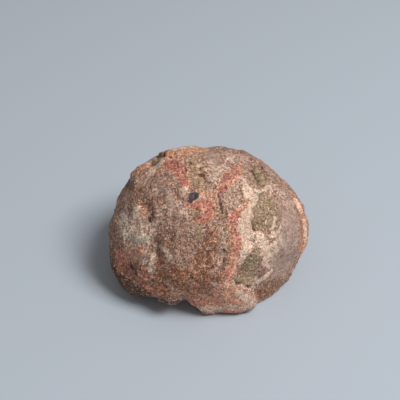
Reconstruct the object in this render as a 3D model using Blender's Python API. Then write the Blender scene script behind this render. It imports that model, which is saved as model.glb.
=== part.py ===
"""A rough opal nodule: one piece of grainy rock, a lumpy dome on a nearly flat broken underside.

Metres, +Z up. The origin is at the bottom centre of the stone's bounding box, on the surface it rests on.
-Y is the front that the photograph shows and +X is its right. The stone is a sphere of directions around its
heart. Each direction gets a distance to the skin: a rounded dome, cut by broad facets, then raised by lumps
and lips, lowered by hollows and creases, and roughened by fractal relief.
"""

import bmesh
import bpy
import numpy as np
from mathutils import Vector, noise

MM = 0.001

# The dome's driving sizes, from its heart at the height of the widest girth
HALF_WIDTH = 36.0 * MM
HALF_DEPTH = 32.0 * MM
HEART_HEIGHT = 13.5 * MM
CROWN_RISE = 33.0 * MM
BELLY_DROP = 19.0 * MM
CROWN_POWER = 2.15
BELLY_POWER = 2.6

# Broad facets: each faces outwards at an azimuth from +X and an elevation, in degrees, so far from the heart
FACETS = (
    ("top back", 90, 52, 32.6 * MM),
    ("top left", 141, 42, 34.8 * MM),
    ("upper right", 42, 36, 35.3 * MM),
    ("left", 168, 14, 34.3 * MM),
    ("front left", 236, 4, 31.5 * MM),
    ("front right", 309, -4, 30.5 * MM),
    ("front slope", 268, 38, 33.5 * MM),
    ("front foot", 262, -14, 30.2 * MM),
    ("back", 84, 6, 30.0 * MM),
    ("back left", 128, 2, 33.0 * MM),
    ("back right", 38, -6, 33.4 * MM),
)
# How sharply the facets and the foot meet the dome: a higher power is a sharper edge
FACET_BLEND = 15
FOOT_BLEND = 30

# Lumps and hollows: a path on the skin in millimetres from the heart, then its reach and its rise
LUMPS = (
    ("left shoulder", ((-23, 7, 25),), 6.0 * MM, 2.9 * MM),
    ("top left corner", ((-12.5, 9, 30), (-5, 12, 31)), 4.6 * MM, 2.5 * MM),
    ("vein groove", ((-17, 7, 29), (-19.5, 0, 28.5), (-22.5, -5, 27)), 2.6 * MM, -1.3 * MM),
    ("nick under the shoulder", ((-28, 7, 19), (-26, -2, 22)), 2.8 * MM, -1.4 * MM),
    ("left hollow", ((-25, -13, 18), (-21, -15, 21)), 5.5 * MM, -2.0 * MM),
    ("left hollow's crease", ((-19.5, -10.5, 24), (-19, -14.5, 20.5)), 1.8 * MM, -1.4 * MM),
    (
        "left valley",
        ((-17, -18.5, 18.5), (-16.5, -22, 14), (-16.5, -24, 11), (-17.5, -26, 6)),
        3.8 * MM,
        -1.7 * MM,
    ),
    ("left valley's bank", ((-20, -22.5, 13), (-21, -24.5, 8)), 2.8 * MM, 0.8 * MM),
    ("lower left lobe", ((-22, -22, 3),), 7.0 * MM, 1.6 * MM),
    ("lower left crease", ((-28, -18, 2), (-23, -23, -1)), 1.8 * MM, -0.8 * MM),
    ("left toe", ((-27, -18, -7), (-23, -21, -7)), 4.5 * MM, 1.2 * MM),
    ("second toe", ((-12, -27, -5),), 4.2 * MM, 2.4 * MM),
    ("crease between the left toes", ((-18, -26, -1), (-18.5, -25, -7)), 2.2 * MM, -1.3 * MM),
    ("undercut below the toes", ((-20, -20, -13), (-12, -24, -13), (-8, -25, -13)), 4.5 * MM, -8.5 * MM),
    ("undercut on the left", ((-34, 2, -13), (-31, -12, -13)), 5.0 * MM, -3.0 * MM),
    ("left flank's hollow", ((-35, -5, -1), (-34, -10, -3)), 4.5 * MM, -1.8 * MM),
    ("left brow", ((-33, 7, 10),), 6.0 * MM, 0.6 * MM),
    ("front notch", ((-8.2, -30, -4), (-8.7, -29, -11)), 2.0 * MM, -4.5 * MM),
    ("front toe's face", ((5, -27, -11), (12, -26, -11)), 4.0 * MM, -0.9 * MM),
    ("front toe's right end", ((10, -26, -11), (16, -24, -11)), 3.4 * MM, 1.4 * MM),
    ("crease above the front toe", ((-5, -30, -2.5), (1, -31, -3.5), (6, -30, -5)), 1.8 * MM, -0.9 * MM),
    ("lower right flank", ((31, -10, -5), (27, -16, -7), (22, -21, -9)), 5.0 * MM, -1.3 * MM),
    ("right crease", ((17.5, -24, -2), (19.5, -23, -12)), 2.0 * MM, -2.2 * MM),
    ("central valley", ((-4, -5, 33), (-3, -11, 31), (-1, -14, 29)), 4.5 * MM, -1.0 * MM),
    ("red knob", ((0, -18, 27.5),), 4.0 * MM, 0.6 * MM),
    ("crease by the red knob", ((2.2, -15, 29), (3, -19, 26.5)), 1.6 * MM, -0.8 * MM),
    ("front crease", ((4.5, -26, 16), (4, -29, 8)), 1.8 * MM, -0.8 * MM),
    ("pink ridge", ((7.5, -10, 31), (9, -19, 25), (8, -25, 17), (6.5, -30, 5)), 3.5 * MM, 1.0 * MM),
    ("cream rib", ((12.5, -6, 30), (14.5, -11, 28), (12, -17, 25), (10.5, -23, 20)), 2.2 * MM, 0.6 * MM),
    ("olive hollow", ((18.5, -13, 25), (17.5, -18, 22)), 4.2 * MM, -1.3 * MM),
    ("lower olive hollow", ((14, -25, 9), (12, -27, 5)), 4.0 * MM, -1.1 * MM),
    ("upper right brow", ((14, 18, 23),), 6.0 * MM, 0.8 * MM),
    ("upper right crease", ((16, 0, 29.5), (17.5, -5, 28)), 1.8 * MM, -0.8 * MM),
    ("right lip's groove", ((30, 1, 18), (32, -4, 13), (33, -9, 6), (31, -11, -1)), 2.2 * MM, -1.1 * MM),
    ("right lip", ((33, 2, 13), (35, -1, 7), (35.5, -4, 1)), 3.0 * MM, 1.0 * MM),
    ("back knob", ((10, 28, 12),), 9.0 * MM, 1.8 * MM),
    ("back hollow", ((-12, 27, 9),), 7.0 * MM, -2.0 * MM),
    ("back crease", ((-3, 24, 22), (-1, 30, 5)), 3.0 * MM, -1.4 * MM),
    ("back left lobe", ((-26, 18, 1),), 8.0 * MM, 1.6 * MM),
    ("back right hollow", ((25, 19, 14),), 6.0 * MM, -1.6 * MM),
    ("back toe", ((5, 30, -8),), 6.0 * MM, 1.4 * MM),
    ("back notch", ((-9, 28, -10),), 4.0 * MM, -3.5 * MM),
    ("back right notch", ((23, 22, -11),), 4.5 * MM, -3.0 * MM),
)

# Fractal relief: the size of its lumps and how far it lifts the skin
RELIEF = (
    ("swells", 13 * MM, 1.3 * MM),
    ("knobs", 5 * MM, 0.6 * MM),
    ("grit", 2.4 * MM, 0.35 * MM),
)
RELIEF_OCTAVES = 2
# Where in the noise the first size is read, and how far on each next one is
NOISE_START = Vector((0, 3.1, 1.7))
NOISE_STEP = Vector((7.3, 0, 0))

# Each octave of the fractals is this much weaker and finer than the one before
OCTAVE_FALL = 1.0
OCTAVE_SPACING = 2.0

# Broken hollows of the underside, above the flat that the stone rests on
UNDERSIDE_HOLLOWS = 11 * MM
UNDERSIDE_DEPTH = 5.0 * MM
UNDERSIDE_FLAT = 0.5 * MM
UNDERSIDE_OCTAVES = 3

# The downward share of a ray below which it counts as level and never meets the table
LEAST_DROP = 0.001
FOOT_TOLERANCE = 0.12 * MM

SPHERE_LEVEL = 6
STONE_TRIANGLES = 9000


def direction(azimuth, elevation):
    """The unit vector of an azimuth from +X and an elevation, both in degrees."""
    around, up = np.radians(azimuth), np.radians(elevation)
    return np.array((np.cos(around) * np.cos(up), np.sin(around) * np.cos(up), np.sin(up)))


def dome(rays):
    """Distance from the heart to a rounded dome along each ray, with a shallower belly below the girth."""
    above = rays[:, 2] > 0
    power = np.where(above, CROWN_POWER, BELLY_POWER)
    third = np.where(above, CROWN_RISE, BELLY_DROP)
    total = (
        np.abs(rays[:, 0] / HALF_WIDTH) ** power
        + np.abs(rays[:, 1] / HALF_DEPTH) ** power
        + np.abs(rays[:, 2] / third) ** power
    )
    return total ** (-1 / power)


def cut_by_facets(rays, reach):
    """The same distances, held in smoothly by each facet's plane."""
    nearness = reach**-FACET_BLEND
    for _, azimuth, elevation, distance in FACETS:
        towards = np.maximum(rays @ direction(azimuth, elevation), 0)
        nearness += (towards / distance) ** FACET_BLEND
    return nearness ** (-1 / FACET_BLEND)


def distance_to_path(points, path):
    """Distance from each point to a line through the path's points, or to its one point."""
    nearest = np.linalg.norm(points - path[0], axis=1)
    for start, end in zip(path[:-1], path[1:]):
        along = end - start
        share = np.clip((points - start) @ along / (along @ along), 0, 1)
        nearest = np.minimum(nearest, np.linalg.norm(points - start - share[:, None] * along, axis=1))
    return nearest


def raise_lumps(rays, reach):
    """The distances with every lump, lip, hollow and crease added."""
    skin = rays * reach[:, None]
    raised = reach.copy()
    for _, path, width, rise in LUMPS:
        away = distance_to_path(skin, np.array(path, float) * MM)
        raised += rise * np.exp(-((away / width) ** 2))
    return raised


def broken_noise(place, octaves):
    """Fractal noise around 0 at a place, the same each time."""
    return noise.fractal(place, OCTAVE_FALL, OCTAVE_SPACING, octaves)


def roughen(rays, reach):
    """The distances with fractal relief of several sizes."""
    skin = rays * reach[:, None]
    rough = reach.copy()
    for count, (_, size, lift) in enumerate(RELIEF):
        for index, point in enumerate(skin):
            place = Vector(point / size) + NOISE_START + NOISE_STEP * count
            rough[index] += lift * broken_noise(place, RELIEF_OCTAVES)
    return rough


def stand_on_table(rays, reach):
    """The skin's points above the table: the belly is cut off level, and parts of the cut are broken out."""
    drop = np.maximum(-rays[:, 2], LEAST_DROP)
    level = HEART_HEIGHT / drop
    held = (reach**-FOOT_BLEND + level**-FOOT_BLEND) ** (-1 / FOOT_BLEND)
    skin = rays * held[:, None]
    skin[:, 2] += HEART_HEIGHT
    for index in np.flatnonzero(reach > level):
        place = Vector(skin[index]) / UNDERSIDE_HOLLOWS
        hollow = UNDERSIDE_DEPTH * broken_noise(place, UNDERSIDE_OCTAVES) - UNDERSIDE_FLAT
        skin[index, 2] = max(skin[index, 2], hollow)
    return skin


def sculpted_sphere():
    """The stone's full mesh, from a sphere of even triangles around its heart."""
    bm = bmesh.new()
    bmesh.ops.create_icosphere(bm, subdivisions=SPHERE_LEVEL, radius=1)
    rays = np.array([vertex.co for vertex in bm.verts])
    rays /= np.linalg.norm(rays, axis=1)[:, None]
    reach = cut_by_facets(rays, dome(rays))
    reach = raise_lumps(rays, reach)
    reach = roughen(rays, reach)
    for vertex, point in zip(bm.verts, stand_on_table(rays, reach)):
        vertex.co = point
    mesh = bpy.data.meshes.new("sculpted sphere")
    bm.to_mesh(mesh)
    bm.free()
    return mesh


def thinned(mesh):
    """The same skin with fewer triangles, kept densest at its creases."""
    helper = bpy.data.objects.new("thinning helper", mesh)
    bpy.context.scene.collection.objects.link(helper)
    thin = helper.modifiers.new("fewer triangles", "DECIMATE")
    thin.ratio = STONE_TRIANGLES / len(mesh.polygons)
    evaluated = helper.evaluated_get(bpy.context.evaluated_depsgraph_get())
    result = bpy.data.meshes.new_from_object(evaluated)
    bpy.data.objects.remove(helper)
    return result


def level_and_centre(mesh):
    """Presses the foot flat on the table and stands the bounding box centred on the origin."""
    skin = np.array([vertex.co for vertex in mesh.vertices])
    skin[skin[:, 2] < FOOT_TOLERANCE, 2] = 0
    middle = (skin.min(axis=0) + skin.max(axis=0)) / 2
    skin -= (middle[0], middle[1], 0)
    mesh.vertices.foreach_set("co", skin.astype(np.float32).ravel())
    mesh.update()


def rock_material():
    """Dull mauve-brown rock."""
    material = bpy.data.materials.new("rock")
    material.use_nodes = True
    shader = material.node_tree.nodes["Principled BSDF"]
    shader.inputs["Base Color"].default_value = (0.37, 0.24, 0.18, 1)
    shader.inputs["Roughness"].default_value = 0.85
    shader.inputs["Metallic"].default_value = 0.0
    return material


def build():
    for old in list(bpy.data.objects):
        bpy.data.objects.remove(old)
    collection = bpy.data.collections.new("opal nodule")
    bpy.context.scene.collection.children.link(collection)
    mesh = thinned(sculpted_sphere())
    mesh.name = "stone"
    level_and_centre(mesh)
    mesh.shade_smooth()
    mesh.materials.append(rock_material())
    stone = bpy.data.objects.new("stone", mesh)
    collection.objects.link(stone)
    return stone


build()
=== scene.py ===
"""Looks of the opal nodule: one rough lump of grainy rock on a plain pale floor.

Metres, +Z up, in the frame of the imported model. The photograph looks along +Y and down. Marks on the side
that it shows are placed by its pixels, in a frame of 400 by 400, and marks on the hidden sides by their
direction from the stone's heart.
"""

import math
from collections import namedtuple

import bmesh
import bpy
import numpy as np
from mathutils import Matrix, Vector, noise


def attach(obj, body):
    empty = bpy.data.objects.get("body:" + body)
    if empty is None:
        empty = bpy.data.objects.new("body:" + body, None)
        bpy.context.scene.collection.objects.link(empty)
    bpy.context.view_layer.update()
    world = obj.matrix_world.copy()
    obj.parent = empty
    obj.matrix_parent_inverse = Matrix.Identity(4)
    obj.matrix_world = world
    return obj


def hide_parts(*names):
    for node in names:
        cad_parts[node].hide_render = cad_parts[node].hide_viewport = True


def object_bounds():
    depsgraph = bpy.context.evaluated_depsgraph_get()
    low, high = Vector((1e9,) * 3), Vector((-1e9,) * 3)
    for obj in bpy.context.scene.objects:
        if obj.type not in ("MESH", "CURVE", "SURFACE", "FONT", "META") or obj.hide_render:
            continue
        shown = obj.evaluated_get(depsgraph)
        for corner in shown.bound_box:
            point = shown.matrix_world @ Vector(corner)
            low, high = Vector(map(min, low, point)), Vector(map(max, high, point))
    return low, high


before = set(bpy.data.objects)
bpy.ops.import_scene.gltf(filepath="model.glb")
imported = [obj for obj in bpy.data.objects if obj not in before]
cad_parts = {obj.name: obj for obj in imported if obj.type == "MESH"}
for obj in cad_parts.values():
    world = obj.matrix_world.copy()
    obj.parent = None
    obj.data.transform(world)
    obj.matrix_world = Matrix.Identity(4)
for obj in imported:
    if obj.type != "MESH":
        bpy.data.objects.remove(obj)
CAD_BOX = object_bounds()

MM = 0.001
FRAME_PIXELS = 400

# The camera stands where the photograph's did, and looks a little left of and above the stone's heart. One
# pixel of the photograph is PIXEL wide at the heart's depth
CAMERA_ELEVATION = 40
CAMERA_DISTANCE = 338 * MM
LENS = 85
SENSOR = 36
CLIP_START = 10 * MM
PIXEL = 0.358 * MM
HEART = np.array((0, 0, 13.5 * MM))
AIM_LEFT_PIXELS = 8
AIM_UP_PIXELS = 37

# The skin's mesh: the gap that welding closes, the even grid, and how often and how strongly it is smoothed
WELD = 0.001 * MM
SKIN_GRID = 0.43 * MM
SMOOTH_ROUNDS = 5
SMOOTH_SHARE = 0.5

# Fractal relief: the size of its lumps, how far it lifts the skin, and its octaves. Each kind is shifted
# against the one before it
RELIEF = {
    "knobs": (3.4 * MM, 0.30 * MM, 2),
    "coarse sand": (1.5 * MM, 0.20 * MM, 2),
    "sand": (1.0 * MM, 0.07 * MM, 1),
}
RELIEF_SHIFT = 9.7
FRACTAL_DIMENSION = 1.0
LACUNARITY = 2.0

# Rounded grains on the relief: their size, how far they lift the skin, and the share of it at their middles
GRAIN_SIZE = 1.0 * MM
GRAIN_LIFT = 0.10 * MM
GRAIN_MIDDLE = 0.5

# The whole skin sinks a little to make room for the relief, and the lilac flank has less relief
RELIEF_SINK = 0.06 * MM
LILAC_SMOOTHNESS = 0.35

# Small round pits all over: how many, their smallest and largest radius and depth, and their reach in radii
PIT_SEED = 11
PITS = 700
PIT_RADII = (0.45 * MM, 1.0 * MM)
PIT_DEPTHS = (0.15 * MM, 0.45 * MM)
PIT_REACH = 2

# Marks on the side in the photograph: lines of (x, y, half width), all in its pixels
SEEN_MARKS = {
    "lilac": (
        ((288, 210, 6.0), (291, 222, 8.0), (288, 240, 12.0), (285, 256, 12.0), (279, 268, 9.0)),
        ((206, 153, 3.6), (214, 155, 5.0), (215, 164, 5.0)),
        ((156, 182, 1.0), (168, 192, 3.0), (174, 212, 4.0), (176, 230, 3.0)),
    ),
    "umber": (
        ((257, 166, 2.0), (262, 171, 3.4), (266, 181, 2.4)),
        # Painted shade: this line darkens the left hollow
        ((141, 204, 2.4), (146, 205, 2.4)),
        ((138, 194, 4.0), (144, 199, 4.6), (152, 204, 3.0)),
        ((127, 181, 3.0), (133, 189, 4.0), (141, 193, 3.0)),
        # Painted shade: this line and the next two darken the left hollow and the valley beside the left
        # lobe
        ((152, 210, 2.4), (150.5, 216, 2.6), (149.5, 222, 1.6)),
        ((157, 232, 1.6), (157.5, 244, 2.4), (159, 250, 1.6)),
        ((161, 256, 4.0), (162, 266, 4.6), (160, 275, 3.0)),
        # Painted shade: this line and the next three darken the shaded underside along the lower-left rim
        # and the lower-left lobe
        ((111, 228, 2.6), (110, 246, 3.8), (113, 264, 5.4), (121, 279, 6.8), (131, 288, 7.0),
         (145, 295, 5.4)),
        ((149, 277, 3.0), (156, 283, 6.0), (160, 290, 5.0), (146, 286, 4.0)),
        ((128, 268, 3.0), (133, 277, 5.0), (136, 286, 4.0)),
        ((174, 214, 3.0), (173, 232, 4.0), (176, 246, 4.0)),
        ((162, 199, 3.0), (165, 214, 3.0), (165, 232, 4.0), (168, 248, 4.0)),
        ((207, 250, 2.6), (209, 257, 2.2)),
        # Painted shade beside the crease near the bottom right
        ((250, 287, 3.4), (242, 285, 2.6)),
        ((275, 286, 3.6), (267, 293, 4.0)),
        ((206, 228, 3.0), (209, 238, 4.0), (213, 252, 4.0), (211, 266, 4.0)),
        # Painted shade along the bottom edge, where the stone curves under
        ((160, 298, 4.0), (172, 300, 4.0)),
    ),
    "tan": (
        ((180.5, 156.5, 3.4), (192, 158, 6.5), (199, 166, 8.0)),
        ((188, 169, 6.0), (193, 178, 7.0), (203, 180, 7.0), (201, 188, 4.6)),
        ((200, 210.5, 5.4),),
        ((222, 196, 5.0), (233, 194, 7.0), (240, 202, 6.0), (230, 206, 7.0), (219, 212, 5.0)),
        ((226, 233, 4.0), (227, 246, 4.5), (228, 260, 4.0), (226, 268, 3.0)),
        ((172, 262, 4.0), (184, 272, 4.0)),
        ((262, 156, 2.4), (275, 170, 2.6)),
        ((136, 256, 4.0), (143, 264, 5.0)),
        ((196, 295, 3.0), (209, 297, 3.4)),
    ),
    "russet": (
        ((174, 272, 9.0), (188, 283, 14.0), (206, 288, 15.0), (222, 280, 8.0)),
        ((206, 244, 5.0), (204, 256, 9.0), (200, 270, 11.0)),
        ((214, 230, 5.0), (218, 244, 6.0), (219, 262, 7.0)),
        ((158, 261, 7.0), (164, 276, 8.0)),
        ((258, 296, 4.0), (270, 288, 4.0)),
    ),
    "rust": (
        ((119, 254, 6.0), (126, 264, 9.0), (131, 276, 10.0), (142, 287, 9.0)),
        ((119, 272, 5.0), (128, 285, 6.0), (142, 293, 6.0)),
        ((138, 264, 5.0), (145, 275, 6.0)),
        ((152, 289, 6.0), (168, 290, 6.0)),
        ((193, 191, 3.0), (197, 194, 2.6)),
        ((141, 204.5, 2.6), (144, 208, 2.6)),
        ((247, 288.5, 3.0),),
        ((238, 232, 4.5), (240, 246, 4.5)),
        ((301, 216, 2.2), (303.5, 228, 2.2), (302.5, 244, 2.0)),
    ),
    "blush": (
        ((212, 168, 6.0), (218, 178, 8.0), (230, 184, 8.0), (242, 178, 5.0)),
        ((200, 196, 4.0), (212, 196, 6.0), (216, 204, 5.0)),
        ((228, 156, 4.0), (243, 160, 5.0)),
        ((216, 193, 4.0), (228, 195, 6.4), (236, 200, 6.4), (226, 206, 6.0)),
        ((272, 184, 3.0), (282, 194, 4.0), (290, 205, 4.0)),
        ((238, 218, 6.0), (239, 236, 8.0), (240, 252, 7.0)),
        ((262, 248, 10.0), (272, 252, 8.0), (268, 262, 6.0)),
        ((218, 286, 6.0), (230, 290, 9.0), (246, 294, 9.0), (238, 304, 9.0), (220, 306, 6.0)),
        ((222, 232, 4.0), (223, 246, 5.0), (221, 262, 3.0)),
        ((251, 262, 3.0), (254, 276, 4.0), (252, 286, 4.0)),
        ((143, 218, 5.0), (146, 224, 5.0)),
        ((128, 248, 5.0), (140, 248, 6.0), (144, 259, 5.0)),
        ((153, 254, 4.0), (151, 266, 4.0)),
        ((158, 213, 2.4), (163, 214, 2.0)),
        ((246, 190, 5.0), (250, 200, 6.0), (246, 215, 7.0), (246, 232, 7.0), (248, 247, 7.0)),
        ((166, 206, 3.0), (178, 203, 3.0), (186, 214, 3.0)),
        ((206, 307, 5.0), (216, 308, 4.0)),
    ),
    "pale": (
        ((138, 209, 3.4), (136, 216, 6.0), (134, 224, 8.0), (140, 233, 7.0), (149, 238, 5.0)),
        ((150, 228, 5.0), (155, 224, 3.0)),
        ((122, 217, 6.0), (126, 230, 6.0)),
        ((144, 262, 2.0), (148, 250, 2.0)),
        ((164, 249, 1.6), (169, 258, 2.0)),
        ((234, 291, 4.6), (242, 298, 8.0), (248, 303, 8.0), (254, 304, 4.6)),
        ((224, 300, 4.0), (232, 305, 4.0)),
        ((212, 178, 4.0), (220, 184, 6.0), (226, 182, 4.0)),
        ((216, 170, 4.0), (226, 168, 4.0)),
        ((236, 258, 3.0), (240, 262, 2.0)),
        ((203, 199, 3.0), (210, 198, 3.0)),
        ((226, 158, 2.4), (232, 160, 2.4)),
    ),
    "green": (
        ((119, 219, 2.0), (123, 222, 3.2), (128, 228, 3.4), (123, 233, 3.4)),
        ((130, 237, 4.6), (139, 238.5, 6.0), (148, 238, 4.6)),
        ((258, 194.5, 3.0), (263, 196, 2.4)),
        ((281, 236, 1.6), (283, 246, 2.0)),
        ((162, 156, 3.0), (157, 162.5, 3.4), (152, 169, 2.2)),
    ),
    "olive": (
        ((261, 196, 3.4), (267, 201, 7.0), (260.5, 209, 8.0), (260.5, 219, 8.6),
         (268, 221, 8.0), (272, 210, 6.0)),
        ((275, 224, 5.0), (278, 215, 2.6)),
        ((257, 226.5, 4.2), (256.5, 233, 2.8), (258, 238, 1.2)),
        ((256, 252, 3.4), (253, 261, 6.4), (250, 269, 7.0), (248, 277, 7.0), (241, 280, 4.6)),
        ((236, 277, 3.0), (238, 284, 2.2)),
        ((256, 170, 3.0), (259, 177, 5.0), (263, 184, 5.0)),
        ((199.5, 227.5, 2.4), (199, 235, 2.6)),
        ((194, 214, 1.6), (201, 213, 2.2)),
        ((163, 154, 2.4), (158, 158, 2.6), (152, 165, 1.6)),
    ),
    "salmon": (
        ((168, 149, 5.5), (179, 148, 7.0), (191, 147.5, 7.0), (204, 148.5, 4.4)),
        ((168, 154, 6.0), (178, 154, 7.0), (172, 164, 7.0), (181, 172, 6.0), (187, 184, 4.0)),
        ((163, 169, 2.6), (156, 171.5, 1.8)),
        ((219, 189, 5.0), (225, 184, 6.0), (231, 177, 7.0), (238, 170, 5.0)),
        ((190, 205, 4.0), (198, 204, 7.0), (208, 206, 8.0), (209, 213, 7.0), (200, 219, 5.4)),
        ((198, 191, 2.0), (206, 194, 4.0), (214, 199, 3.4)),
        ((247, 201.5, 2.4), (246.5, 208, 2.4), (240, 213, 5.0), (234, 219, 7.0), (234, 227, 6.0)),
        ((237, 228, 7.0), (237, 240, 8.0), (236, 254, 7.0)),
        ((237, 260, 3.6), (231, 268, 5.0), (226, 278, 5.4), (223, 290, 5.0)),
        ((189, 302, 4.5), (200, 304, 8.5), (216, 306, 10.0), (232, 304, 10.0), (246, 298, 6.0)),
        ((216, 292, 5.0), (228, 292, 6.0), (240, 290, 4.0)),
        ((134, 170.5, 3.0), (140, 169, 3.4), (147, 165, 2.6)),
        ((294, 197, 1.8), (299, 204, 3.4), (303, 212, 3.2), (305, 222, 2.6)),
        ((305, 222, 2.4), (305.5, 234, 2.2), (304, 246, 2.4), (301.5, 257, 2.0)),
        ((142, 208.5, 2.8), (145.5, 213.5, 3.0)),
        ((117.5, 202.5, 2.2), (115.5, 206, 2.0)),
        ((121, 256, 5.0), (124, 261, 4.0)),
        ((147.5, 291.5, 4.0),),
        ((231, 287, 4.0),),
        ((128, 252, 4.0), (140, 252, 5.0)),
    ),
    "red": (
        ((168, 165.5, 4.0), (175, 166, 6.0), (181.5, 168, 5.6), (181, 175, 5.0),
         (184.5, 181, 4.8), (187, 186, 3.2)),
        ((236, 169.5, 3.6), (231, 175, 4.6), (226, 177, 4.4)),
        ((226, 187.5, 2.4), (221.5, 190, 3.2)),
        ((192, 206, 2.4), (198, 204.5, 4.0), (205, 203.5, 4.6), (209.5, 206.5, 4.0), (210, 212.5, 3.6)),
        ((210, 213, 3.6), (205, 218.5, 3.4), (198.5, 219.5, 2.8)),
        ((240, 213.5, 2.4), (234, 216.5, 3.4), (232, 222, 2.6), (235, 226, 2.2)),
        ((237, 232, 2.6), (238.5, 243, 3.0), (236, 252, 2.2)),
        ((230, 269, 2.0), (226, 275, 2.2)),
        ((120, 255, 3.4), (122, 260, 2.4)),
        ((189, 301.5, 1.8), (197, 303, 2.6), (206, 304, 2.0)),
        ((147.5, 291.5, 2.6),),
        ((203, 311.8, 1.0), (212, 313.4, 1.0), (248, 313.4, 1.2)),
        ((268, 297, 1.2), (274, 293.5, 1.2)),
        ((301.5, 206.5, 1.4), (304.5, 214, 1.6)),
    ),
    "cream": (
        ((245, 181, 2.0), (246, 187, 3.6), (249, 194, 5.4), (254, 199, 4.2), (252, 205, 3.2),
         (250, 209, 2.4)),
        ((248.5, 211, 3.6), (246, 218, 6.0), (244, 227, 6.2), (246, 236, 5.4)),
        ((245, 240, 4.0), (248, 247, 5.0), (245, 254, 3.6), (242, 260, 2.6), (240.5, 264, 1.6)),
        ((252.6, 213, 1.4), (253, 222, 1.4), (252.5, 236, 2.4)),
        ((254.5, 190.5, 1.8), (259.5, 191.5, 1.8), (265, 189.5, 1.8), (269.5, 186, 1.6),
         (271.5, 191.5, 1.8)),
        ((268.5, 215.5, 0.9), (265.5, 222, 1.0)),
        ((275, 217, 0.9), (275, 223.5, 1.0), (271.5, 230, 1.1)),
        ((259, 233, 3.0), (262, 240, 5.4), (266, 247, 5.6), (268, 255, 4.6), (265, 262, 3.0)),
        ((272, 236, 3.0), (279, 230, 1.6), (281, 227, 1.2)),
        ((275, 243, 2.2), (276, 252, 2.0)),
        ((272, 270, 1.2), (265, 277, 1.6), (257.5, 283, 2.2)),
        ((266, 262, 1.6), (270, 270, 1.2)),
        ((164, 156, 1.2), (160.5, 163, 2.4), (155, 168, 2.6), (150.5, 174, 2.6)),
        ((295.5, 199, 1.5), (299, 206, 1.9), (302, 213, 1.2)),
        ((305, 219, 1.2), (306, 232, 1.5), (305, 244, 1.1)),
        ((197, 308, 2.0), (204, 309.5, 2.8), (212, 309.5, 2.8), (221, 309, 2.4)),
        ((226, 305, 1.8), (233, 308.5, 2.4), (240, 307, 2.2)),
        ((238, 293, 2.4), (245, 298, 4.0), (250, 303, 3.4)),
        ((186.5, 188, 1.6), (190, 190, 1.4)),
        ((172, 148.5, 1.2), (184, 147, 1.8), (198, 147.5, 1.2)),
        ((205.7, 169.3, 1.3),),
        ((198.5, 165.5, 1.0), (201.5, 164.5, 0.8)),
        ((196, 177.5, 0.9), (199, 179, 0.8)),
        ((240, 206, 1.2),),
        ((138.5, 207, 1.8), (136.5, 213, 2.4), (133.5, 220, 2.4), (134, 228, 2.0)),
        ((153, 228, 1.6), (151, 234, 1.4)),
        ((154, 255, 1.8), (152, 263, 2.0), (149.5, 271, 1.8)),
        ((175, 301, 1.6), (181, 299.5, 1.2)),
    ),
    "dark": (
        # Painted shade in the cut creases, on this line and the next three
        ((149, 218, 1.0), (149.5, 222, 1.2)),
        ((213, 208, 0.9), (213.5, 216, 1.0)),
        ((218, 194, 1.0), (220.5, 203.5, 1.6), (221.5, 213, 1.2)),
        ((223.5, 250, 0.7), (223.5, 262, 0.8)),
        ((206.5, 249.5, 1.6), (208.5, 255, 1.2)),
        # Painted shade in the cut creases, on this line and the next
        ((253.8, 222, 0.9), (254.5, 229, 1.5)),
        ((252, 168, 1.0), (256.5, 176.5, 1.3), (259.5, 182, 1.0)),
        ((261.5, 168.5, 1.3),),
        ((185, 160, 0.8), (185.5, 170, 0.9)),
        ((197, 173, 1.0), (203, 176, 1.2), (206, 181, 0.8)),
        ((190, 162, 0.9), (193, 166, 0.8)),
        ((200, 168, 0.8),),
        ((193, 183, 0.9), (196, 186, 0.8)),
        # Painted shade in the crease near the bottom right, on this line and the next
        ((249, 287.5, 1.2),),
        ((237, 283, 0.9), (241, 284, 0.9)),
        ((129, 177.5, 1.4),),
        ((131.5, 171, 0.9),),
        ((140, 176.5, 0.9),),
        # Painted shade in the crease on the upper left, on this line and the next
        ((163, 153.5, 1.5), (158, 156, 1.5)),
        ((154.5, 160.5, 0.9), (151, 165, 0.8)),
        # Painted shade: these five lines darken the creases of the lower-left lobe, its shaded underside
        # along the rim, and the bottom edge where it curves under
        ((152, 280, 1.4), (158, 283, 1.4)),
        ((130, 262, 1.0), (136, 275, 1.2)),
        ((109.5, 258, 1.6), (115, 274, 4.0), (124, 284, 6.0), (134, 291, 6.0), (147, 296, 4.0)),
        ((156, 299, 1.4), (168, 303, 1.8), (178, 302, 1.6), (186, 304, 1.4)),
        ((124, 281, 1.6), (134, 289, 1.8), (147, 293, 1.4)),
    ),
    "bead": (
        ((194.9, 195.8, 4.2), (192.8, 196.6, 4.4)),
        ((190.4, 201.0, 2.6),),
    ),
    "bead veil": (
        ((190.6, 196.6, 3.4), (192.6, 193.6, 2.2)),
        ((189.6, 201.6, 1.6),),
    ),
}

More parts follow.
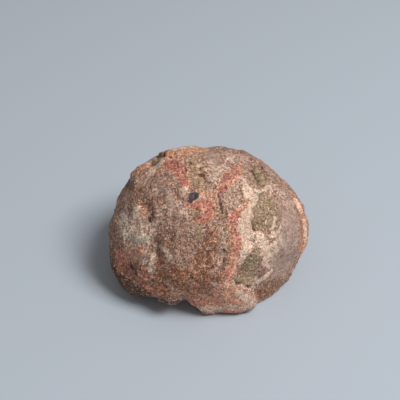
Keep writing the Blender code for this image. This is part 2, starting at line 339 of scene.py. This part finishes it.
# Marks on the hidden sides: lines of (azimuth, elevation, half width), in degrees and in pixels' widths
HIDDEN_MARKS = {
    "red": (
        ((70, 38, 5), (82, 30, 6), (95, 34, 4)),
        ((118, 12, 4), (128, 4, 5), (132, -8, 3)),
        ((30, 12, 4), (36, 2, 5)),
        ((160, 28, 4), (152, 36, 3)),
    ),
    "salmon": (
        ((64, 40, 6), (80, 34, 9), (98, 34, 6)),
        ((112, 16, 5), (128, 4, 8), (134, -8, 5)),
        ((24, 14, 5), (38, 0, 7)),
        ((100, -12, 8),),
    ),
    "rust": (
        ((150, 4, 14), (166, -4, 14)),
        ((88, -8, 12), (70, -14, 12)),
        ((50, 26, 9),),
    ),
    "blush": (
        ((60, 58, 10), (90, 52, 12)),
        ((24, 30, 10), (40, 40, 10)),
        ((110, 24, 10), (140, 16, 9)),
        ((56, 4, 11),),
    ),
    "tan": (
        ((100, 60, 9), (130, 52, 8)),
        ((74, 16, 9), (92, 10, 8)),
        ((136, 30, 9),),
        ((20, -6, 8),),
    ),
    "olive": (
        ((48, 14, 7), (58, 8, 8), (60, -4, 6)),
        ((106, 2, 6), (112, -8, 7)),
        ((146, 44, 5), (156, 14, 6)),
    ),
    "green": (
        ((120, 34, 6), (126, 26, 7)),
        ((80, -2, 5),),
    ),
    "cream": (
        ((57, 26, 1.5), (62, 20, 5)),
        ((67, 14, 2.5), (63, 5, 6), (70, -4, 1.5)),
        ((66, 15, 1.5), (80, 18, 1)),
        ((125, 23, 1), (132, 15, 5)),
        ((139, 10, 2), (146, -3, 5)),
        ((100, 44, 1.6), (108, 36, 2)),
    ),
    "pale": (
        ((62, 16, 9), (68, 4, 7)),
        ((134, 12, 8), (144, 2, 7)),
        ((170, 34, 7),),
        ((96, -2, 6),),
    ),
    "russet": (
        ((180, -4, 12), (160, -12, 10)),
        ((100, 46, 9),),
        ((30, -12, 10),),
    ),
    "lilac": (
        ((20, 6, 10), (10, 16, 10)),
        ((90, 22, 12), (104, 14, 10)),
        ((150, 24, 10), (170, 14, 10)),
    ),
    "umber": (
        ((92, 30, 5), (92, 6, 6)),
        ((118, 20, 8), (110, -6, 9)),
        ((40, 24, 7), (46, -10, 9)),
        ((150, -10, 9), (176, -12, 8)),
    ),
    "dark": (
        ((92, 34, 1.2), (94, 20, 1.6), (92, 6, 1.2)),
        ((118, 22, 2.4),),
        ((40, 26, 2.2),),
        ((108, -14, 2.4),),
        ((46, -16, 2.4),),
    ),
}

# How each mark's edge wanders: the size of its bends, and their reach in pixels' widths. It wanders further
# on the hidden sides
RAGGED = ((2.6 * MM, 1.5), (1.0 * MM, 0.9))
RAGGED_OCTAVES = 2
RAGGED_SHIFT = 4.1
HIDDEN_RAGGED = 2

# Skin turns from hidden to seen between these two cosines of its angle to the camera
SEEN_FADE = (-0.35, -0.02)

# Creases, listed one by one: lines of (x, y, half width) in pixels, then the depth
CREASES = (
    (((213, 207, 1.3), (213.8, 217, 1.4)), 0.5 * MM),
    (((217, 192, 1.2), (220.5, 203.5, 1.5), (221.8, 213, 1.2)), 0.65 * MM),
    (((223.5, 250, 1.2), (223, 262, 1.2), (221, 272, 1.2)), 0.7 * MM),
    (((252, 167, 1.3), (256.5, 176.5, 1.6), (260, 184, 1.2)), 0.8 * MM),
    (((253.5, 214, 1.3), (254, 224, 1.6), (256, 230, 1.6)), 0.6 * MM),
    (((188.5, 201, 1.4), (189.5, 195, 1.3), (194, 191.2, 1.2)), 0.4 * MM),
    (((236, 282, 1.3), (244, 286, 1.3), (249, 287, 1.6)), 0.7 * MM),
    (((140, 204.5, 1.6), (147, 204, 1.6)), 0.4 * MM),
    (((149.5, 222, 1.6), (150.5, 215, 1.6), (152, 209, 1.4)), 0.4 * MM),
    (((163, 153.5, 1.6), (156, 160, 1.8), (148, 173, 1.6)), 0.5 * MM),
    (((144, 283, 1.5), (153, 288.5, 1.8), (163, 293, 1.5)), 0.5 * MM),
    (((258, 293, 1.6), (260, 299, 1.6)), 0.4 * MM),
    (((212, 305, 1.2), (226, 307, 1.2), (236, 311, 1.2)), 0.4 * MM),
)

# The dark bead: how proud it stands, how softly it ends in pixels' widths, and how much its edge wanders
# beside a mark's
BEAD_LIFT = 0.35 * MM
BEAD_SOFTNESS = 1.0
BEAD_RAGGED = 0.3

# The colours of the rock, in linear light. Umber and dark also paint shade: in hollows, creases and pits,
# on the lower-left rim and along the bottom edge
COLOURS = {
    "mauve": (0.397, 0.247, 0.193),
    "brown": (0.372, 0.215, 0.148),
    "lilac": (0.47, 0.325, 0.262),
    "umber": (0.225, 0.117, 0.078),
    "tan": (0.44, 0.272, 0.168),
    "russet": (0.368, 0.162, 0.092),
    "rust": (0.42, 0.175, 0.112),
    "blush": (0.57, 0.385, 0.300),
    "pale": (0.68, 0.500, 0.405),
    "green": (0.50, 0.440, 0.345),
    "olive": (0.35, 0.250, 0.150),
    "salmon": (0.69, 0.335, 0.218),
    "red": (0.52, 0.195, 0.145),
    "cream": (0.77, 0.560, 0.430),
    "dark": (0.11, 0.050, 0.028),
    "bead": (0.036, 0.036, 0.030),
    "bead veil": (0.120, 0.078, 0.080),
    "light grain": (0.50, 0.400, 0.322),
}

# The soft window light: where it hangs, its width and its power in watts
KEY_PLACE = Vector((0.52, -0.33, 0.94))
KEY_SIZE = 0.44
KEY_POWER = 10.2

# The room's light from all round, which weakens to a share of its strength towards the horizon
FILL_COLOUR = (1.0, 1.0, 1.0, 1)
FILL_STRENGTH = 0.295
HORIZON_SHARE = 0.50

# The plain floor's half width, colour and dullness
FLOOR_HALF = 3.0
FLOOR_COLOUR = (0.51, 0.563, 0.625, 1)
FLOOR_ROUGHNESS = 0.9
FLOOR_SPECULAR = 0.2

# Large soft patches in the bare brown rock: bumps in a millimetre and their detail, the noise at which a
# patch starts and at which it is full, and its fullest cover
PATCHES = {
    "mauve": (0.22, 4, 0.36, 0.64, 1.0),
    "blush": (0.75, 3, 0.50, 0.72, 0.45),
    "umber": (0.62, 3, 0.46, 0.28, 0.45),
}
PATCH_ROUGHNESS = 0.6

# Most noise lies between these two values
NOISE_SPAN = (0.3, 0.7)

# Darker and lighter areas of the rock: bumps in a millimetre, their detail, and the darkest and lightest
SHADES_PER_MM = 0.45
SHADES_DETAIL = 3
SHADES = (0.79, 1.21)

# Grains of sand in the colours: how many in a millimetre, and the crumbs of noise that give a share of
# their tint, which runs from the darkest to the lightest
GRAINS_PER_MM = 2.1
CRUMBS_PER_MM = 1.5
CRUMBS_DETAIL = 3
CRUMBS_ROUGHNESS = 0.8
CRUMBS_SHARE = 0.5
TINT_SPAN = (0.12, 0.88)
DARKEST_GRAIN = (0.28, 0.184, 0.130, 1)
LIGHTEST_GRAIN = (1.79, 1.755, 1.72, 1)

# How far some markings calm the grains, and the least that the grains show
CALM = {"lilac": 0.50, "olive": 0.20, "cream": 0.34, "red": 0.15}
LEAST_LIVELY = 0.3

# Rare fine grains, much lighter or darker than the rock: how many grains in a millimetre, how much lively
# rock adds to their chance, then the chances at which one starts and is full, and its cover at both
RARE_GRAINS_PER_MM = 2.6
RARE_CHANCE = 0.2
RARE_LIGHT = (1.00, 1.12, 0, 0.92)
RARE_DARK = (-0.04, -0.14, 0, 0.75)

# Each marking, lowest first: its noise's bumps in a millimetre, how far that and the grains break it up,
# how gently it fades, its fullest cover and how softly it ends on the skin, in pixels' widths
Layer = namedtuple("Layer", "per_mm breaking fade fullest softness")
LAYERS = {
    "lilac": Layer(0.5, 0.3, 0.34, 0.80, 5.0),
    "umber": Layer(0.6, 0.5, 0.30, 0.75, 4.0),
    "tan": Layer(0.7, 0.4, 0.30, 0.85, 3.5),
    "russet": Layer(0.5, 0.4, 0.34, 0.90, 6.0),
    "rust": Layer(0.6, 0.4, 0.32, 0.85, 5.0),
    "blush": Layer(0.7, 0.5, 0.26, 0.80, 4.5),
    "pale": Layer(0.9, 0.5, 0.26, 0.80, 4.0),
    "green": Layer(1.0, 0.6, 0.24, 0.70, 3.0),
    "olive": Layer(0.8, 0.4, 0.16, 0.90, 1.6),
    "salmon": Layer(0.8, 0.45, 0.28, 0.90, 4.2),
    "red": Layer(0.9, 0.4, 0.22, 0.94, 2.2),
    "cream": Layer(1.0, 0.6, 0.14, 0.90, 1.8),
    "dark": Layer(1.2, 0.4, 0.20, 0.92, 1.5),
}
MARK_DETAIL = 3
MARK_ROUGHNESS = 0.65

# Pits are painted darker, as shade in them: the shares of a pit's depth between which the dark grows, and
# its cover at both
PIT_PAINTED_SHADE = (0.45, 0.95, 0, 0.45)

# The masks at which the bead and its veil start and are full, and the noise that breaks up the veil
BEAD_EDGE = (0.35, 0.65)
VEIL_PER_MM = 1.2
VEIL_BREAKING = 0.4
VEIL_EDGE = (0.4, 0.9)

# Gloss of the dull rock and of the glassy bead, and the rock's finest bumps, from noise and from its grains
ROCK_ROUGHNESS = 0.85
BEAD_ROUGHNESS = 0.16
ROCK_SPECULAR = 0.35
BUMPS_PER_MM = 1.6
BUMPS_DETAIL = 4
BUMPS_ROUGHNESS = 0.7
BUMP_OF_GRAINS = 0.6
BUMP_STRENGTH = 0.8
BUMP_HEIGHT = 0.35 * MM


def camera_axes():
    """The camera's right, up and back directions."""
    elevation = math.radians(CAMERA_ELEVATION)
    right = np.array((1.0, 0.0, 0.0))
    up = np.array((0.0, math.sin(elevation), math.cos(elevation)))
    back = np.array((0.0, -math.cos(elevation), math.sin(elevation)))
    return right, up, back


def camera_place():
    """Where the camera stands."""
    right, up, back = camera_axes()
    aim = HEART - right * AIM_LEFT_PIXELS * PIXEL + up * AIM_UP_PIXELS * PIXEL
    return aim + back * CAMERA_DISTANCE


def photo_pixels(points):
    """The photograph's pixel at which each point is seen."""
    right, up, back = camera_axes()
    offset = points - camera_place()
    depth = -(offset @ back)
    scale = FRAME_PIXELS * LENS / SENSOR / depth
    middle = FRAME_PIXELS / 2
    return np.stack((middle + offset @ right * scale, middle - offset @ up * scale), axis=1)


def smooth_step(values, low, high):
    """0 below low, 1 above high, and a smooth rise between."""
    share = np.clip((values - low) / (high - low), 0, 1)
    return share * share * (3 - 2 * share)


def depth_in_line(places, line, widths):
    """How far inside a line of round ends and straight runs each place lies, negative outside it."""
    depth = widths[0] - np.linalg.norm(places - line[0], axis=1)
    for start, end, first, last in zip(line[:-1], line[1:], widths[:-1], widths[1:]):
        along = end - start
        share = np.clip((places - start) @ along / (along @ along), 0, 1)
        away = np.linalg.norm(places - start - share[:, None] * along, axis=1)
        depth = np.maximum(depth, first + (last - first) * share - away)
    return depth


def fractal(points, size, octaves, shift):
    """Fractal noise around 0 at each point, with lumps of a size. Another shift gives other lumps."""
    offset = Vector((shift, shift / 2, -shift))
    places = (Vector(point) + offset for point in points / size)
    return np.array([noise.fractal(place, FRACTAL_DIMENSION, LACUNARITY, octaves) for place in places])


def welded_copy(source):
    """The CAD solid's skin as one closed mesh."""
    bm = bmesh.new()
    bm.from_mesh(source.data)
    bmesh.ops.remove_doubles(bm, verts=bm.verts, dist=WELD)
    mesh = bpy.data.meshes.new("nodule")
    bm.to_mesh(mesh)
    bm.free()
    return mesh


def applied(mesh, kind, **settings):
    """The mesh with one modifier applied to it."""
    helper = bpy.data.objects.new("helper", mesh)
    bpy.context.scene.collection.objects.link(helper)
    modifier = helper.modifiers.new(kind, kind)
    for name, value in settings.items():
        setattr(modifier, name, value)
    evaluated = helper.evaluated_get(bpy.context.evaluated_depsgraph_get())
    result = bpy.data.meshes.new_from_object(evaluated)
    bpy.data.objects.remove(helper)
    return result


def fine_skin():
    """The CAD solid's skin, smoothed and divided into an even fine grid."""
    mesh = welded_copy(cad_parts["stone"])
    mesh = applied(mesh, "SUBSURF", levels=1, render_levels=1)
    mesh = applied(mesh, "REMESH", mode="VOXEL", voxel_size=SKIN_GRID)
    return applied(mesh, "SMOOTH", factor=SMOOTH_SHARE, iterations=SMOOTH_ROUNDS)


def points_of(mesh):
    """The mesh's points, one in each row."""
    points = np.empty(len(mesh.vertices) * 3, np.float32)
    mesh.vertices.foreach_get("co", points)
    return points.reshape(-1, 3).astype(float)


def normals_of(mesh):
    """The outward direction at each of the mesh's points."""
    normals = np.empty(len(mesh.vertices) * 3, np.float32)
    mesh.vertex_normals.foreach_get("vector", normals)
    return normals.reshape(-1, 3).astype(float)


def place_in_direction(skin, azimuth, elevation):
    """The skin's point in a direction from the heart, in degrees."""
    around, up = math.radians(azimuth), math.radians(elevation)
    ray = np.array((math.cos(around) * math.cos(up), math.sin(around) * math.cos(up), math.sin(up)))
    outward = skin - HEART
    return skin[np.argmax(outward @ ray / np.linalg.norm(outward, axis=1))]


def edge_of(kind):
    """How softly a kind of mark ends, in pixels' widths, and its edge's share of the wander."""
    if kind in LAYERS:
        return LAYERS[kind].softness, 1
    return BEAD_SOFTNESS, BEAD_RAGGED


def seen_cover(kind, pixels, ragged):
    """How strongly the marks of a kind cover each pixel's point on the side in the photograph."""
    soft, wander = edge_of(kind)
    cover = np.zeros(len(pixels))
    for line in map(np.array, SEEN_MARKS.get(kind, ())):
        depth = depth_in_line(pixels, line[:, :2], line[:, 2]) + wander * ragged
        cover = np.maximum(cover, smooth_step(depth, -soft, soft))
    return cover


def hidden_cover(kind, skin, ragged):
    """How strongly the marks of a kind cover each point on the hidden sides."""
    soft, wander = edge_of(kind)
    cover = np.zeros(len(skin))
    for marks in HIDDEN_MARKS.get(kind, ()):
        middles = np.array([place_in_direction(skin, azimuth, up) for azimuth, up, _ in marks])
        widths = np.array([width for _, _, width in marks])
        depth = depth_in_line(skin / PIXEL, middles / PIXEL, widths) + HIDDEN_RAGGED * wander * ragged
        cover = np.maximum(cover, smooth_step(depth, -soft, soft))
    return cover


def mark_masks(skin, normals):
    """How strongly each kind of mark covers each point, and how far the photograph shows that point."""
    pixels = photo_pixels(skin)
    towards = camera_place() - skin
    facing = (normals * towards).sum(axis=1) / np.linalg.norm(towards, axis=1)
    seen = smooth_step(facing, *SEEN_FADE)
    ragged = sum(reach * fractal(skin, size, RAGGED_OCTAVES, RAGGED_SHIFT) for size, reach in RAGGED)
    masks = {}
    for kind in COLOURS:
        shown = seen * seen_cover(kind, pixels, ragged)
        cover = np.maximum(shown, (1 - seen) * hidden_cover(kind, skin, ragged))
        if cover.any():
            masks[kind] = cover
    return masks, seen * (facing > 0)


def grains(skin):
    """Height of rounded sand grains, highest in the middle of each."""
    return np.array([GRAIN_MIDDLE - noise.voronoi(Vector(point))[0][0] for point in skin / GRAIN_SIZE])


def pits(skin):
    """How deep each point lies in a round pit, as a share of one, and in metres."""
    draw = np.random.default_rng(PIT_SEED)
    share = np.zeros(len(skin))
    depth = np.zeros(len(skin))
    for _ in range(PITS):
        middle = skin[draw.integers(len(skin))]
        radius = draw.uniform(*PIT_RADII)
        near = np.flatnonzero(np.abs(skin - middle).max(axis=1) < PIT_REACH * radius)
        fall = np.exp(-((np.linalg.norm(skin[near] - middle, axis=1) / radius) ** 2))
        share[near] = np.maximum(share[near], fall)
        depth[near] = np.maximum(depth[near], fall * draw.uniform(*PIT_DEPTHS))
    return share, depth


def creases(skin, shown):
    """Depth of the listed creases on the side in the photograph."""
    pixels = photo_pixels(skin)
    depth = np.zeros(len(skin))
    for line, cut in CREASES:
        line = np.array(line)
        away = -depth_in_line(pixels, line[:, :2], np.zeros(len(line)))
        width = line[:, 2].mean()
        depth = np.maximum(depth, cut * shown * np.exp(-((away / width) ** 2)))
    return depth


def relief(skin, masks):
    """How far the knobs, the sand and the bead lift the skin."""
    roughness = (1 - masks["bead"]) * (1 - LILAC_SMOOTHNESS * masks["lilac"])
    lift = roughness * GRAIN_LIFT * grains(skin) + BEAD_LIFT * masks["bead"]
    for count, (size, rise, octaves) in enumerate(RELIEF.values()):
        lift += roughness * rise * fractal(skin, size, octaves, RELIEF_SHIFT * count)
    return lift


def store_masks(mesh, masks):
    """Keeps each mask as a number at each of the mesh's points, where the material finds it."""
    for kind, cover in masks.items():
        attribute = mesh.attributes.new(kind, "FLOAT", "POINT")
        attribute.data.foreach_set("value", cover.astype(np.float32))


def rough_stone():
    """The stone's visible skin: relief, pits, creases and masks of its markings."""
    mesh = fine_skin()
    skin, normals = points_of(mesh), normals_of(mesh)
    masks, shown = mark_masks(skin, normals)
    pit_share, pit_depth = pits(skin)
    lift = relief(skin, masks) - pit_depth - creases(skin, shown) - RELIEF_SINK
    skin = np.clip(skin + normals * lift[:, None], CAD_BOX[0], CAD_BOX[1])
    mesh.vertices.foreach_set("co", skin.astype(np.float32).ravel())
    store_masks(mesh, {**masks, "pit": pit_share})
    mesh.shade_smooth()
    mesh.update()
    stone = bpy.data.objects.new("nodule", mesh)
    bpy.context.scene.collection.objects.link(stone)
    return stone


class Paint:
    """Short ways to add nodes to one material."""

    def __init__(self, name):
        self.material = bpy.data.materials.new(name)
        self.material.use_nodes = True
        self.tree = self.material.node_tree
        self.shader = self.tree.nodes["Principled BSDF"]
        place = self.add("ShaderNodeTexCoord").outputs["Object"]
        to_millimetres = {"Vector": place, "Scale": 1 / MM}
        scaled = self.add("ShaderNodeVectorMath", {"operation": "SCALE"}, to_millimetres)
        self.millimetres = scaled.outputs["Vector"]

    def add(self, kind, settings=None, inputs=None):
        """A node with its settings, and its inputs set to values or linked to sockets."""
        node = self.tree.nodes.new(kind)
        for name, value in (settings or {}).items():
            setattr(node, name, value)
        for name, value in (inputs or {}).items():
            if isinstance(value, bpy.types.NodeSocket):
                self.tree.links.new(value, node.inputs[name])
            else:
                node.inputs[name].default_value = value
        return node

    def noise(self, per_mm, detail=2.0, roughness=0.55):
        """Noise from 0 to 1 with so many bumps in a millimetre."""
        inputs = {"Vector": self.millimetres, "Scale": per_mm, "Detail": detail, "Roughness": roughness}
        return self.add("ShaderNodeTexNoise", None, inputs).outputs["Fac"]

    def grains(self, per_mm):
        """For the grain at each place, three random numbers from 0 to 1, and the way to its middle."""
        cell = self.add("ShaderNodeTexVoronoi", None, {"Vector": self.millimetres, "Scale": per_mm})
        parts = self.add("ShaderNodeSeparateColor", None, {"Color": cell.outputs["Color"]})
        return (*parts.outputs, cell.outputs["Distance"])

    def mask(self, name):
        """A mask stored on the mesh."""
        return self.add("ShaderNodeAttribute", {"attribute_name": name}).outputs["Fac"]

    def span(self, value, low, high, start=0.0, end=1.0):
        """A value's climb from low to high, turned into start to end."""
        inputs = {"Value": value, "From Min": low, "From Max": high, "To Min": start, "To Max": end}
        return self.add("ShaderNodeMapRange", {"clamp": True}, inputs).outputs["Result"]

    def sum(self, first, second, times=1.0):
        """first + second times a number."""
        inputs = {0: second, 1: times, 2: first}
        return self.add("ShaderNodeMath", {"operation": "MULTIPLY_ADD"}, inputs).outputs["Value"]

    def mix(self, factor, first, second, blend="MIX"):
        """Two colours mixed by a factor."""
        settings = {"data_type": "RGBA", "blend_type": blend}
        return self.add("ShaderNodeMix", settings, {0: factor, 6: first, 7: second}).outputs[2]


def colour(name):
    """A colour of the rock, as nodes take it."""
    return (*COLOURS[name], 1.0)


def bare_rock(paint):
    """Brown rock with large soft patches of other colours."""
    base = colour("brown")
    for name, (per_mm, detail, low, high, fullest) in PATCHES.items():
        spread = paint.noise(per_mm, detail, PATCH_ROUGHNESS)
        base = paint.mix(paint.span(spread, low, high, 0, fullest), base, colour(name))
    return base


def lay_marking(paint, base, name, grain):
    """One marking over the base colour, broken up by noise and by single grains of the other colour."""
    layer = LAYERS[name]
    wander = paint.sum(paint.noise(layer.per_mm, MARK_DETAIL, MARK_ROUGHNESS), grain)
    broken = paint.sum(paint.mask(name), wander, layer.breaking / 2)
    middle = (1 + layer.breaking) / 2
    cover = paint.span(broken, middle - layer.fade, middle + layer.fade, 0, layer.fullest)
    return paint.mix(cover, base, colour(name))


def liveliness(paint):
    """How strongly the grains show: 1, and less where a marking calms them."""
    lively = 1.0
    for name, share in CALM.items():
        lively = paint.sum(lively, paint.mask(name), -share)
    return lively


def sanded(paint, base, grain, lively):
    """The colour with darker and lighter areas, and with a tint for each grain."""
    shades = paint.noise(SHADES_PER_MM, SHADES_DETAIL, PATCH_ROUGHNESS)
    base = paint.mix(1.0, base, paint.span(shades, *NOISE_SPAN, *SHADES), "MULTIPLY")
    crumbs = paint.noise(CRUMBS_PER_MM, CRUMBS_DETAIL, CRUMBS_ROUGHNESS)
    blend = paint.sum(paint.span(crumbs, *NOISE_SPAN, 0, CRUMBS_SHARE), grain, 1 - CRUMBS_SHARE)
    tint = paint.mix(paint.span(blend, *TINT_SPAN), DARKEST_GRAIN, LIGHTEST_GRAIN)
    return paint.mix(paint.span(lively, LEAST_LIVELY, 1, LEAST_LIVELY, 1), base, tint, "MULTIPLY")


def with_rare_grains(paint, base, lively):
    """The colour with rare fine grains that are much lighter or darker."""
    light, dark, _, _ = paint.grains(RARE_GRAINS_PER_MM)
    light = paint.span(paint.sum(light, lively, RARE_CHANCE), *RARE_LIGHT)
    dark = paint.span(paint.sum(dark, lively, -RARE_CHANCE), *RARE_DARK)
    base = paint.mix(light, base, colour("light grain"), "SCREEN")
    return paint.mix(dark, base, colour("dark"))


def with_bead(paint, base, bead):
    """The colour with the dark bead and the veil over a part of it."""
    broken = paint.sum(paint.mask("bead veil"), paint.noise(VEIL_PER_MM), VEIL_BREAKING)
    veiled = paint.mix(paint.span(broken, *VEIL_EDGE), colour("bead"), colour("bead veil"))
    return paint.mix(bead, base, veiled)


def fine_bumps(paint, to_middle):
    """The rock's finest bumps, highest in the middle of each grain."""
    height = paint.sum(paint.noise(BUMPS_PER_MM, BUMPS_DETAIL, BUMPS_ROUGHNESS), to_middle, -BUMP_OF_GRAINS)
    inputs = {"Strength": BUMP_STRENGTH, "Distance": BUMP_HEIGHT, "Height": height}
    return paint.add("ShaderNodeBump", None, inputs).outputs["Normal"]


def rock_material():
    """Sandy mauve-brown rock with broken patches of other colours and one glassy bead."""
    paint = Paint("rock")
    *draws, to_middle = paint.grains(GRAINS_PER_MM)
    base = bare_rock(paint)
    for count, name in enumerate(LAYERS):
        base = lay_marking(paint, base, name, draws[count % len(draws)])
    lively = liveliness(paint)
    base = sanded(paint, base, draws[-1], lively)
    base = with_rare_grains(paint, base, lively)
    # Painted shade in the pits, darker with depth
    base = paint.mix(paint.span(paint.mask("pit"), *PIT_PAINTED_SHADE), base, colour("dark"))
    bead = paint.span(paint.mask("bead"), *BEAD_EDGE)
    gloss = paint.span(bead, 0, 1, ROCK_ROUGHNESS, BEAD_ROUGHNESS)
    inputs = paint.shader.inputs
    inputs["Specular IOR Level"].default_value = ROCK_SPECULAR
    paint.tree.links.new(with_bead(paint, base, bead), inputs["Base Color"])
    paint.tree.links.new(gloss, inputs["Roughness"])
    paint.tree.links.new(fine_bumps(paint, to_middle), inputs["Normal"])
    return paint.material


def floor():
    """A plain pale floor under the stone."""
    corners = [(x * FLOOR_HALF, y * FLOOR_HALF, 0) for x, y in ((-1, -1), (1, -1), (1, 1), (-1, 1))]
    mesh = bpy.data.meshes.new("floor")
    mesh.from_pydata(corners, [], [(0, 1, 2, 3)])
    ground = bpy.data.objects.new("floor", mesh)
    bpy.context.scene.collection.objects.link(ground)
    material = bpy.data.materials.new("floor")
    material.use_nodes = True
    shader = material.node_tree.nodes["Principled BSDF"]
    shader.inputs["Base Color"].default_value = FLOOR_COLOUR
    shader.inputs["Roughness"].default_value = FLOOR_ROUGHNESS
    shader.inputs["Specular IOR Level"].default_value = FLOOR_SPECULAR
    mesh.materials.append(material)


def camera():
    """The photograph's camera."""
    _, _, back = camera_axes()
    data = bpy.data.cameras.new("camera")
    data.lens = LENS
    data.sensor_width = SENSOR
    data.clip_start = CLIP_START
    eye = bpy.data.objects.new("camera", data)
    eye.location = camera_place()
    eye.rotation_mode = "QUATERNION"
    eye.rotation_quaternion = Vector(-back).to_track_quat("-Z", "Y")
    bpy.context.scene.collection.objects.link(eye)
    bpy.context.scene.camera = eye


def window_light():
    """Soft light from the upper right and a little in front."""
    data = bpy.data.lights.new("window", "AREA")
    data.size = KEY_SIZE
    data.energy = KEY_POWER
    window = bpy.data.objects.new("window", data)
    window.location = KEY_PLACE
    window.rotation_mode = "QUATERNION"
    window.rotation_quaternion = (-KEY_PLACE).to_track_quat("-Z", "Y")
    bpy.context.scene.collection.objects.link(window)


def room_light():
    """Light from all round, which weakens towards the horizon."""
    world = bpy.data.worlds.new("room")
    world.use_nodes = True
    nodes, links = world.node_tree.nodes, world.node_tree.links
    background = nodes["Background"]
    background.inputs["Color"].default_value = FILL_COLOUR
    direction = nodes.new("ShaderNodeSeparateXYZ")
    links.new(nodes.new("ShaderNodeTexCoord").outputs["Generated"], direction.inputs["Vector"])
    height = nodes.new("ShaderNodeMapRange")
    height.inputs["To Min"].default_value = FILL_STRENGTH * HORIZON_SHARE
    height.inputs["To Max"].default_value = FILL_STRENGTH
    links.new(direction.outputs["Z"], height.inputs["Value"])
    links.new(height.outputs["Result"], background.inputs["Strength"])
    bpy.context.scene.world = world


bpy.context.scene.view_settings.view_transform = "Standard"
camera()
window_light()
room_light()
floor()
stone = rough_stone()
stone.data.materials.append(rock_material())
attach(stone, "root")
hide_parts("stone")
